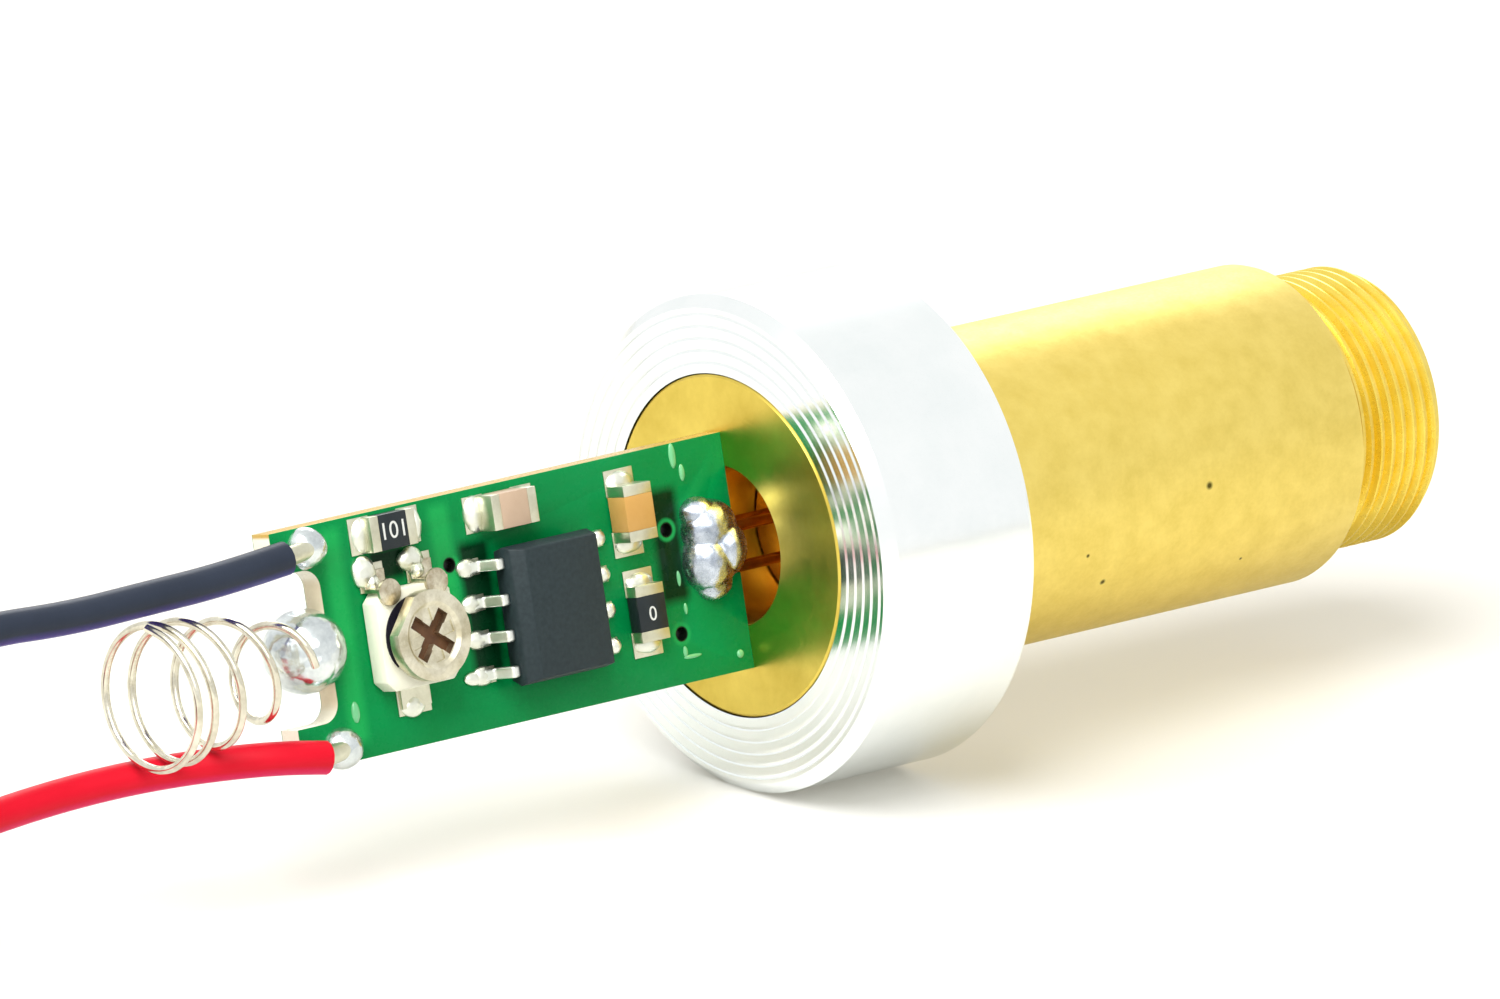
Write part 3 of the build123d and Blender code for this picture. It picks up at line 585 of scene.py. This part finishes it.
# The driver chip: moulded in dark slate epoxy with eight bent and tinned leads, each soldered to
# its pad with a small pillow of solder.
def plastic(name, colour, other, gloss, grain, shine=0.3):
    """Extruded or moulded plastic: slight cloudiness, a fine skin and an uneven gloss."""
    made, shader, node = material(name)
    place = node("ShaderNodeTexCoord").outputs["Object"]
    cloud = node("ShaderNodeTexNoise", Vector=place, Scale=grain, Detail=4.0)
    tint = node("ShaderNodeMix", {"data_type": "RGBA"})
    tint.inputs["A"].default_value = colour
    tint.inputs["B"].default_value = other
    made.node_tree.links.new(cloud.outputs["Fac"], tint.inputs["Factor"])
    made.node_tree.links.new(tint.outputs["Result"], shader.inputs["Base Color"])
    shader.inputs["Specular IOR Level"].default_value = shine
    skin_grain = grain * 9
    gloss_low, gloss_high = gloss - 0.06, gloss + 0.08
    skin = node("ShaderNodeTexNoise", Vector=place, Scale=skin_grain, Detail=3.0)
    uneven = node("ShaderNodeMapRange", Value=skin.outputs["Fac"], To_Min=gloss_low, To_Max=gloss_high)
    made.node_tree.links.new(uneven.outputs["Result"], shader.inputs["Roughness"])
    bump = node("ShaderNodeBump", Height=skin.outputs["Fac"], Strength=0.25, Distance=0.02 * mm)
    made.node_tree.links.new(bump.outputs["Normal"], shader.inputs["Normal"])
    return made


chip_epoxy = plastic("chip_epoxy", linear(18, 31, 35), linear(42, 55, 59), gloss=0.50, grain=6500)
chip = dressed_copy("driver_chip_body", "chip_case", 0.05)
fit(chip, chip_epoxy, "chip_black", "driver_chip_body")
leg_grain, leg_smoothings = 0.035 * mm, 8
chip_leads = dressed_copy("driver_chip_leads", "chip_legs", 0.09, steps=3)
shape_by(chip_leads, "REMESH", mode="VOXEL", voxel_size=leg_grain)
shape_by(chip_leads, "SMOOTH", iterations=leg_smoothings)
bpy.ops.object.shade_smooth()
leg_tin = metal(
    "leg_tin", linear(246, 248, 240), linear(224, 228, 216),
    gloss=0.30, grain=900, relief=0.006, patch=0.12)
fit(chip_leads, leg_tin, "tinned", "driver_chip_leads")


# The small chips: two glazed resistors and two fired capacitors, each with tinned ends.
resistor_glaze = plastic("resistor_glaze", linear(22, 30, 34), linear(36, 44, 48), gloss=0.30, grain=1500)
capacitor_grey = plastic(
    "capacitor_grey", linear(196, 172, 150), linear(180, 156, 134),
    gloss=0.42, grain=1500)
capacitor_tan = plastic(
    "capacitor_tan", linear(204, 160, 92), linear(188, 142, 74),
    gloss=0.42, grain=1500)
for chip_name, finish, slot in (
    ("rear_resistor", resistor_glaze, "resistor_black"),
    ("front_resistor", resistor_glaze, "resistor_black"),
    ("rear_capacitor", capacitor_grey, "capacitor_grey"),
    ("front_capacitor", capacitor_tan, "capacitor_tan"),
):
    small_body = dressed_copy(chip_name + "_body", chip_name + "_case", 0.02)
    fit(small_body, finish, slot, chip_name + "_body")
    small_ends = dressed_copy(chip_name + "_ends", chip_name + "_caps", 0.05)
    fit(small_ends, tin, "tinned", chip_name + "_ends")


# The trimmer: a white ceramic base with a printed track, two folded terminals, and a dished
# metal rotor with a flat and a cross slot that turns on the wiper terminal's pivot.
trimmer_ceramic = plastic(
    "trimmer_ceramic", linear(246, 246, 230), linear(232, 232, 212),
    gloss=0.45, grain=1200)
track_print = plastic("track_print", linear(24, 22, 34), linear(36, 34, 48), gloss=0.35, grain=1200)
trimmer_along, trimmer_across = 15.15, 0.3
rotor_metal = metal(
    "rotor_metal", linear(228, 223, 202), linear(186, 178, 150),
    gloss=0.34, grain=1600, relief=0.006, patch=0.14)
base = dressed_copy("trimmer_base", "trimmer_block", 0.05)
fit(base, trimmer_ceramic, "trimmer_white", "trimmer_base")
track = dressed_copy("trimmer_track", "trimmer_print", 0)
fit(track, track_print, "trimmer_carbon", "trimmer_track")
clip_tin = metal(
    "clip_tin", linear(222, 216, 194), linear(158, 142, 112),
    gloss=0.34, grain=2200, relief=0.006, patch=0.14)
terminals = dressed_copy("trimmer_terminals", "trimmer_clips", 0.04)
fit(terminals, clip_tin, "tinned", "trimmer_terminals")
wiper = dressed_copy("trimmer_wiper_terminal", "trimmer_wiper", 0.04)
fit(wiper, tin, "tinned", "trimmer_wiper_terminal")
rotor = dressed_copy("trimmer_rotor", "trimmer_disc", 0.04)
fit(rotor, rotor_metal, "rotor_metal", "trimmer_rotor", body="rotor")
# Painted shade for the cross slot: a darker, browner metal for its walls and dark brown for its floor.
slot_walls_half_shade = metal("slot_walls_half_shade", linear(216, 202, 172), linear(150, 124, 92), gloss=0.40, grain=2500)
slot_floor_shade = plastic("slot_floor_shade", linear(118, 82, 54), linear(50, 30, 20), gloss=0.45, grain=2600)
dish_floor, slot_floor = 2.10, 1.83
slot_length, slot_width, slot_turn = 1.95, 0.46, 52
plug_width, plug_sink = 2.06, 0.02
# The cross is cut from this far above the dish. Faces within its reach get painted shade, dark brown on its
# floor and a darker, browner metal on its walls; the floor is told by its height, with a little room below
# and above.
cut_above, slot_reach = 0.5, 1.1
just_below, near = 0.01, 0.03
trimmer_place = board_place @ Matrix.Translation((trimmer_along * mm, trimmer_across * mm, 0))


def rework(operation, size, low, high, turn=0, round_plug=False):
    """Joins a plug to the rotor, or cuts a slot arm out of it, between two heights."""
    alone()
    length, width, depth = size[0] * mm, size[1] * mm, (high - low) * mm
    if round_plug:
        bpy.ops.mesh.primitive_cylinder_add(vertices=64, radius=length / 2, depth=depth)
    else:
        bpy.ops.mesh.primitive_cube_add(size=1)
        bpy.ops.transform.resize(value=(length, width, depth), center_override=(0, 0, 0))
    tool = bpy.context.object
    bpy.ops.object.transform_apply()
    lifted = Matrix.Translation((0, 0, (low + high) / 2 * mm))
    tool.matrix_world = trimmer_place @ lifted @ Matrix.Rotation(math.radians(turn), 4, "Z")
    bpy.ops.object.transform_apply()
    shape_by(rotor, "BOOLEAN", operation=operation, solver="EXACT", object=tool)
    bpy.data.objects.remove(tool)


rework("UNION", (plug_width, plug_width), slot_floor - plug_sink, dish_floor, round_plug=True)
for turn in (slot_turn, slot_turn + 90):
    rework("DIFFERENCE", (slot_length, slot_width), slot_floor, dish_floor + cut_above, turn)
bpy.ops.object.shade_smooth_by_angle(angle=math.radians(40))
for finish in (slot_floor_shade, slot_walls_half_shade):
    rotor.data.materials.append(finish)
# The slot's faces take its painted shade, the floor the darker one.
for face in rotor.data.polygons:
    middle = trimmer_place.inverted() @ face.center / mm
    from_axis = math.hypot(middle.x, middle.y)
    if from_axis < slot_reach and slot_floor - just_below < middle.z < dish_floor - near:
        face.material_index = 1 if middle.z < slot_floor + near else 2


# Solder: a lumpy joint over the diode's pins, a large drop in the board's notch round the
# spring, and a dome over each lead's strands.
solder_bright = metal(
    "solder_bright", linear(240, 246, 244), linear(186, 194, 196),
    gloss=0.20, grain=800, relief=0.003, patch=0.10)
solder_dull = metal(
    "solder_dull", linear(212, 220, 230), linear(134, 144, 158),
    gloss=0.24, grain=1300, relief=0.003, patch=0.12)
solder_grain, solder_smoothings = 0.05 * mm, 6
solder_waves, solder_swell = 0.7 * mm, 0.08 * mm


def join_balls(name, lumps, add_ball):
    """Flattened balls joined into one piece: along, across and out, then length, width and height."""
    alone()
    balls = []
    for along, across, out, length, width, height in lumps:
        add_ball()
        balls.append(bpy.context.object)
        size = (length / 2 * mm, width / 2 * mm, height * mm)
        bpy.ops.transform.resize(value=size, center_override=(0, 0, 0))
        bpy.ops.transform.translate(value=(along * mm, across * mm, out * mm))
        bpy.ops.object.transform_apply()
    for ball in balls:
        ball.select_set(True)
    if len(balls) > 1:
        bpy.ops.object.join()
    joined = bpy.context.object
    joined.name = name
    return joined


def swell_on_board(piece, waves, swell):
    """Makes a soldered piece a little uneven and lays it on the board."""
    clouds = bpy.data.textures.new(piece.name + "_clouds", "CLOUDS")
    clouds.noise_scale = waves
    shape_by(piece, "DISPLACE", texture=clouds, strength=swell)
    piece.matrix_world = board_place
    bpy.ops.object.transform_apply()
    bpy.ops.object.shade_smooth()


def round_ball():
    bpy.ops.mesh.primitive_uv_sphere_add(segments=32, ring_count=20, radius=1)


def solder_lump(name, node_name, lumps, finish):
    """Drops of solder run together over one joint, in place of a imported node."""
    drop = join_balls(name, lumps, round_ball)
    shape_by(drop, "REMESH", mode="VOXEL", voxel_size=solder_grain)
    shape_by(drop, "SMOOTH", iterations=solder_smoothings)
    swell_on_board(drop, solder_waves, solder_swell)
    fit(drop, finish, "solder", node_name)


solder_lump("pin_solder", "diode_solder", [
    (1.25, -1.00, face_h, 2.3, 2.1, 1.05), (1.45, 0.10, face_h, 2.2, 2.3, 1.05),
    (1.30, 0.90, face_h, 1.6, 1.3, 0.60), (0.85, -0.25, face_h + 0.1, 1.7, 2.2, 1.15),
    (1.60, -1.60, face_h, 1.5, 1.2, 0.75), (1.35, -0.72, -face_h, 2.2, 1.1, 0.55),
], solder_dull)
solder_lump("notch_solder", "spring_solder", [
    (19.15, 0.13, 0, 3.0, 3.0, 1.5), (19.35, 0.45, 0.2, 2.2, 2.1, 1.3),
], solder_bright)
solder_lump("black_joint", "lead_solder", [(18.85, -3.45, face_h, 1.6, 1.5, 0.75)], solder_bright)
solder_lump("red_joint", "lead_solder", [(18.55, 3.65, face_h, 1.6, 1.5, 0.75)], solder_bright)


# The small joints: a pillow of solder on each pad, at the chip's feet, at the small chips' ends
# and on the trimmer's terminals, all a little different.
joint_tin = metal(
    "joint_tin", linear(238, 240, 228), linear(214, 216, 198),
    gloss=0.32, grain=900, relief=0.006, patch=0.12)
chip_along, chip_across, leg_pitch = 9.094, 0.4, 1.27
rear_foot, front_foot = 2.92, 2.95
joint_waves = 0.45 * mm
joint_lumps = []
for count in range(4):
    row = chip_across + (count - 1.5) * leg_pitch
    joint_lumps.append((chip_along + rear_foot, row, face_h + 0.05, 0.98, 0.68, 0.22))
    joint_lumps.append((chip_along - front_foot, row, face_h + 0.06, 0.62, 0.62, 0.26))
joint_lumps.append((12.35, 2.32, face_h + 0.06, 1.0, 0.50, 0.16))
for along, across, length, width, height in (
    (16.35, -3.45, 0.95, 1.30, 0.30), (14.0, -3.45, 0.50, 1.20, 0.30), (11.35, -3.3, 0.95, 1.35, 0.34),
    (9.1, -3.3, 0.50, 1.20, 0.34), (4.8, -3.25, 1.25, 0.85, 0.30), (4.8, -1.1, 1.25, 0.75, 0.30),
    (4.6, 0.35, 1.25, 0.75, 0.28), (4.6, 2.5, 1.25, 0.70, 0.28),
):
    joint_lumps.append((along, across, face_h, length, width, height))


def even_ball():
    bpy.ops.mesh.primitive_ico_sphere_add(subdivisions=4, radius=1)


def small_joints(name, lumps, finish, slot, swell):
    """Small drops, each a flattened ball of its own, kept apart and made uneven."""
    drops = join_balls(name, lumps, even_ball)
    swell_on_board(drops, joint_waves, swell * mm)
    fit(drops, finish, slot)


small_joints("pad_joints", joint_lumps, joint_tin, "tinned", swell=0.05)
small_joints("clip_joints", [
    (16.55, -2.20, face_h + 0.08, 1.00, 1.10, 0.30), (16.30, -1.75, face_h + 0.1, 0.60, 0.70, 0.36),
    (14.45, -2.30, face_h + 0.08, 1.10, 0.85, 0.28), (14.30, -1.85, face_h + 0.1, 0.60, 0.60, 0.34),
    (15.25, 2.75, face_h + 0.05, 1.05, 0.8, 0.22),
], joint_tin, "tinned", swell=0.14)


# Flux: dried glassy beads that were left beside the joints.
flux_clear, flux_shader, node = material("flux_clear")
flux_shader.inputs["Base Color"].default_value = linear(104, 190, 130)
flux_shader.inputs["Roughness"].default_value = 0.08
flux_shader.inputs["Coat Weight"].default_value = 0.6
flux_place = node("ShaderNodeTexCoord").outputs["Object"]
flux_noise = node("ShaderNodeTexNoise", Vector=flux_place, Scale=2500.0)
flux_bump = node("ShaderNodeBump", Height=flux_noise.outputs["Fac"], Strength=0.3, Distance=0.02 * mm)
flux_clear.node_tree.links.new(flux_bump.outputs["Normal"], flux_shader.inputs["Normal"])
small_joints("flux_beads", [
    (17.72, 2.53, face_h, 0.34, 0.75, 0.10), (2.27, -3.75, face_h, 0.30, 0.9, 0.08),
    (1.95, -3.1, face_h, 0.24, 0.6, 0.07), (2.77, 0.52, face_h, 0.16, 0.55, 0.06),
    (2.66, 1.61, face_h, 0.16, 0.40, 0.06), (2.64, 3.3, face_h, 0.8, 0.16, 0.06),
    (2.95, 3.1, face_h, 0.2, 0.4, 0.06), (0.55, 3.6, face_h, 0.3, 0.3, 0.08),
], flux_clear, "board_green", swell=0.02)


# The resistors' printed values: plain digits, a hair above the glaze.
digit_white = plastic("digit_white", linear(224, 228, 226), linear(206, 210, 208), gloss=0.5, grain=2000)
digit_thickness = 0.004
pad_height, resistor_height, digit_gap = 0.06, 0.55, 0.006
resistor_top = face_h + pad_height + resistor_height + digit_gap


def digits(name, letters, along, across, out, size, turn):
    """Digits lying on the board's side of a chip, turned by so many degrees, made into a mesh."""
    alone()
    bpy.ops.object.text_add()
    written = bpy.context.object
    written.name = name
    written.data.body = letters
    written.data.align_x = "CENTER"
    written.data.align_y = "CENTER"
    written.data.size = size * mm
    written.data.extrude = digit_thickness * mm
    bpy.ops.object.convert(target="MESH")
    written = bpy.context.object
    flip = Matrix.Rotation(math.radians(turn), 4, "Z")
    written.matrix_world = board_place @ Matrix.Translation((along * mm, across * mm, out * mm)) @ flip
    bpy.ops.object.transform_apply()
    fit(written, digit_white, "resistor_black")


digits("rear_digits", "101", 15.35, -3.45, resistor_top, 0.86, 180)
digits("front_digit", "0", 4.6, 1.4, resistor_top, 0.72, 0)


# The contact spring: hard nickel-plated wire, wound as a cone. Its widest turn is nearly closed
# and its narrowest sinks into the solder in the board's notch.
spring_wire = 0.15
spring_big, spring_small = 2.55, 1.15
spring_turns, spring_length = 4.25, 6.9
spring_end = (-23.2, -0.35, -0.37)
spring_lean = math.radians(4.5)
spring_points = 24
nickel = metal(
    "nickel", linear(240, 236, 218), linear(196, 190, 170),
    gloss=0.15, grain=1200, relief=0.003, patch=0.06)
wire_line = bpy.data.curves.new("spring_wire", "CURVE")
wire_line.dimensions = "3D"
turn_count = round(spring_turns * spring_points)
wire = wire_line.splines.new("NURBS")
wire.points.add(turn_count)
for step, point in enumerate(wire.points):
    share = step / turn_count
    turn = 2 * math.pi * spring_turns * share
    reach = spring_big - (spring_big - spring_small) * share ** 2.8
    back = spring_length * (1 - share ** 1.7)
    side = reach * math.sin(turn)
    point.co = (
        (spring_end[0] - back * math.cos(spring_lean) + side * math.sin(spring_lean)) * mm,
        (spring_end[1] - back * math.sin(spring_lean) - side * math.cos(spring_lean)) * mm,
        (spring_end[2] + reach * math.cos(turn)) * mm, 1)
wire.order_u = 3
wire.use_endpoint_u = True
wire_line.resolution_u = 4
wire_line.bevel_depth = spring_wire * mm
wire_line.bevel_resolution = 4
wire_line.use_fill_caps = True
spring = bpy.data.objects.new("wire_spring", wire_line)
bpy.context.scene.collection.objects.link(spring)
fit(spring, nickel, "spring_nickel", "contact_spring")


# The supply leads: soft insulated wire, 1.2 mm over the plastic, from the board's rear corners
# back and down to the table. The rest of each lead is put away in a coil, the black one on the
# red, with one flat tie round both.
board_end_x = -23.6
lead_radius = 0.6 * mm
coil_heights = {"black": -6.71, "red": -8.05}
coil_outer, coil_inner, coil_last = 7.1, 5.9, 5.1
coil_back = 4.4
coil_steps, coil_count = 24, 1.75
# In turns: where the coil starts to close in and how long that takes, then once more at its end
inward_from, inward_span = 0.25, 0.75
last_from, last_span = 1.25, 0.5
black_run = [
    (0.10, -0.34, 3.36), (-2.70, -0.33, 3.10), (-5.90, -0.28, 3.03), (-9.40, -0.20, 2.92),
    (-13.00, -0.05, 3.12), (-15.80, 0.20, 2.65), (-18.20, 0.80, 1.00), (-20.70, 2.00, -1.40),
    (-23.30, 3.90, -3.90), (-26.20, 5.90, -5.80), (-29.40, 7.10, -6.71), (-32.50, 7.10, -6.71),
]
red_run = [
    (0.48, -2.03, -3.53), (-1.00, -1.85, -3.28), (-3.00, -0.80, -3.35), (-5.15, 0.25, -3.53),
    (-7.50, 0.82, -3.70), (-10.20, 1.10, -3.93), (-13.00, 0.98, -4.15), (-15.80, 0.45, -4.75),
    (-18.90, -0.90, -5.75), (-22.00, -3.20, -6.85), (-25.40, -5.60, -7.70), (-29.10, -7.10, -8.05),
    (-32.50, -7.10, -8.05),
]


def coil_turns(end_x, height, side):
    """A flat spiral of one turn and three quarters, its outer turn carrying on from the lead."""
    points = []
    for step in range(1, round(coil_count * coil_steps) + 1):
        turn = step / coil_steps
        first = min(max(turn - inward_from, 0), inward_span) / inward_span * (coil_outer - coil_inner)
        second = max(turn - last_from, 0) / last_span * (coil_inner - coil_last)
        reach = coil_outer - first - second
        angle = math.radians(-90) - 2 * math.pi * turn
        points.append((end_x - coil_back + reach * math.cos(angle), side * reach * math.sin(angle), height))
    return points


tie_milky = plastic("tie_milky", linear(226, 226, 220), linear(214, 214, 206), gloss=0.45, grain=900)
tie = dressed_copy("coil_tie", "flat_tie", 0.05)
fit(tie, tie_milky, "tie_plastic", "coil_tie")

# How far down a face looks where the painted under sheen begins, and where it is whole
turning_down, facing_down = -0.25, -0.85


def painted_under_sheen(made, sheen_colour):
    """Paints a sheen of reflected light on the side of a lead that faces the table."""
    tree = made.node_tree
    shader = tree.nodes["Principled BSDF"]
    facing = tree.nodes.new("ShaderNodeNewGeometry")
    split = tree.nodes.new("ShaderNodeSeparateXYZ")
    tree.links.new(facing.outputs["Normal"], split.inputs[0])
    share = tree.nodes.new("ShaderNodeMapRange")
    share.inputs["From Min"].default_value = turning_down
    share.inputs["From Max"].default_value = facing_down
    tree.links.new(split.outputs["Z"], share.inputs["Value"])
    tint = tree.nodes.new("ShaderNodeMix")
    tint.data_type = "RGBA"
    tree.links.new(share.outputs["Result"], tint.inputs["Factor"])
    tree.links.new(shader.inputs["Base Color"].links[0].from_socket, tint.inputs["A"])
    tint.inputs["B"].default_value = sheen_colour
    tree.links.new(tint.outputs["Result"], shader.inputs["Base Color"])


lead_finish = {
    "black": plastic(
        "black_insulation", linear(30, 38, 52), linear(42, 50, 66), gloss=0.42, grain=700, shine=0.25),
    "red": plastic(
        "red_insulation", linear(204, 6, 34), linear(218, 16, 44), gloss=0.46, grain=700, shine=0.18),
}
# Painted reflection on the leads' undersides: violet on the black, pink on the red.
painted_under_sheen(lead_finish["black"], linear(58, 50, 140))
painted_under_sheen(lead_finish["red"], linear(222, 24, 96))
for colour, run, side in (("black", black_run, -1), ("red", red_run, 1)):
    height = coil_heights[colour]
    route = [(board_end_x + along, across, up) for along, across, up in run]
    route += [(route[-1][0] - coil_back, route[-1][1], height)]
    route += coil_turns(route[-2][0], height, side)
    line = bpy.data.curves.new(colour + "_wire", "CURVE")
    line.dimensions = "3D"
    spline = line.splines.new("NURBS")
    spline.points.add(len(route) - 1)
    for point, place in zip(spline.points, route):
        point.co = (*(value * mm for value in place), 1)
    spline.order_u = 3
    spline.use_endpoint_u = True
    line.resolution_u = 10
    line.bevel_depth = lead_radius
    line.bevel_resolution = 6
    line.use_fill_caps = True
    line.materials.append(lead_finish[colour])
    lead = bpy.data.objects.new(colour + "_wire", line)
    bpy.context.scene.collection.objects.link(lead)
    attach(lead, "module")
    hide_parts(colour + "_lead", colour + "_lead_coil")

# The strands that go into the solder and the stripped far ends are tinned
finish_nodes(tin, "lead_cores", "black_lead_tip", "red_lead_tip")
